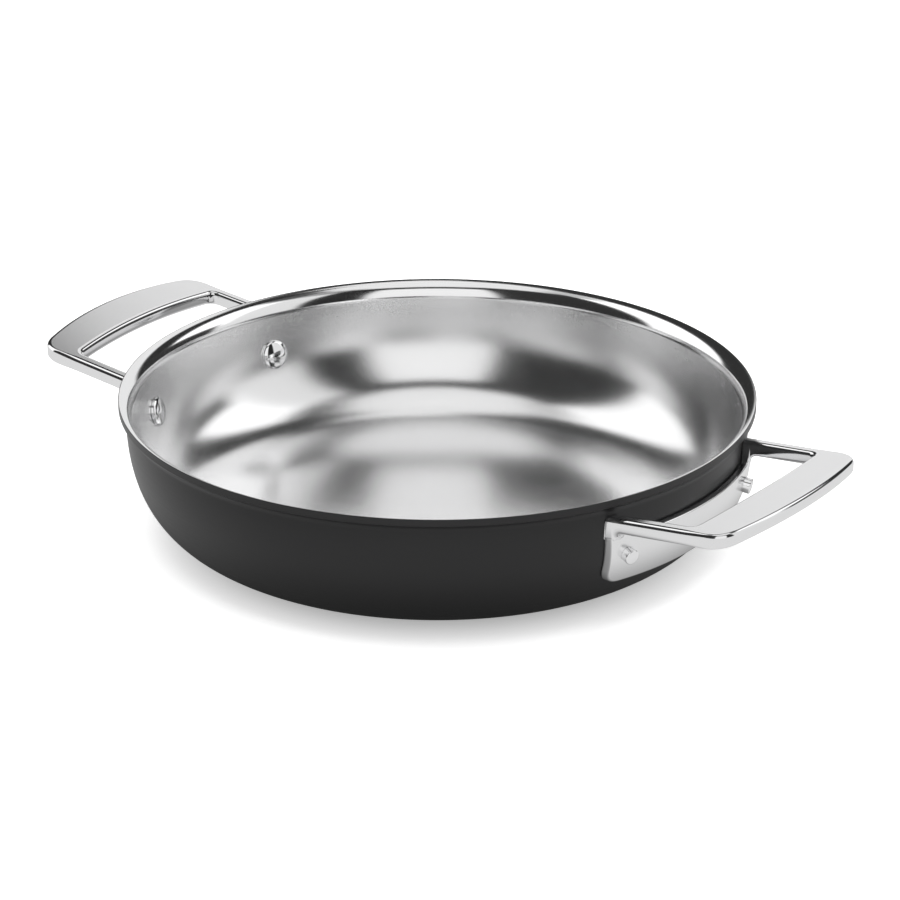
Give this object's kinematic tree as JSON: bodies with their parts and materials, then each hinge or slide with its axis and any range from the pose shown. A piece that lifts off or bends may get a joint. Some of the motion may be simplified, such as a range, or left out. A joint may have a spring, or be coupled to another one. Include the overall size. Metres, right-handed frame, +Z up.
{
  "type": "two-handled frying pan",
  "caption": "Round frying pan with a satin steel inside, dark anodised outside, flared lip and a riveted steel loop handle on each side.",
  "frame": {"origin": "centre of the pan's flat base, on the surface it stands on", "axes": "+X along the line through both handles, +Y across it, +Z up out of the open bowl"},
  "size_m": [0.3812, 0.28, 0.0633],
  "materials": {
    "satin_steel": "fine-grained satin with a polished lip",
    "core_aluminium": "mill finish",
    "hard_anodised": "dark grey, matte, hard anodised",
    "handle_steel": "satin faces with polished edges",
    "rivet_steel": "polished"
  },
  "bodies": {
    "root": {"steel_liner": "satin_steel", "aluminium_core": "core_aluminium", "anodised_shell": "hard_anodised", "right_handle": "handle_steel", "left_handle": "handle_steel", "rivet_right_front": "rivet_steel", "rivet_right_back": "rivet_steel", "rivet_left_back": "rivet_steel", "rivet_left_front": "rivet_steel"}
  },
  "joints": []
}
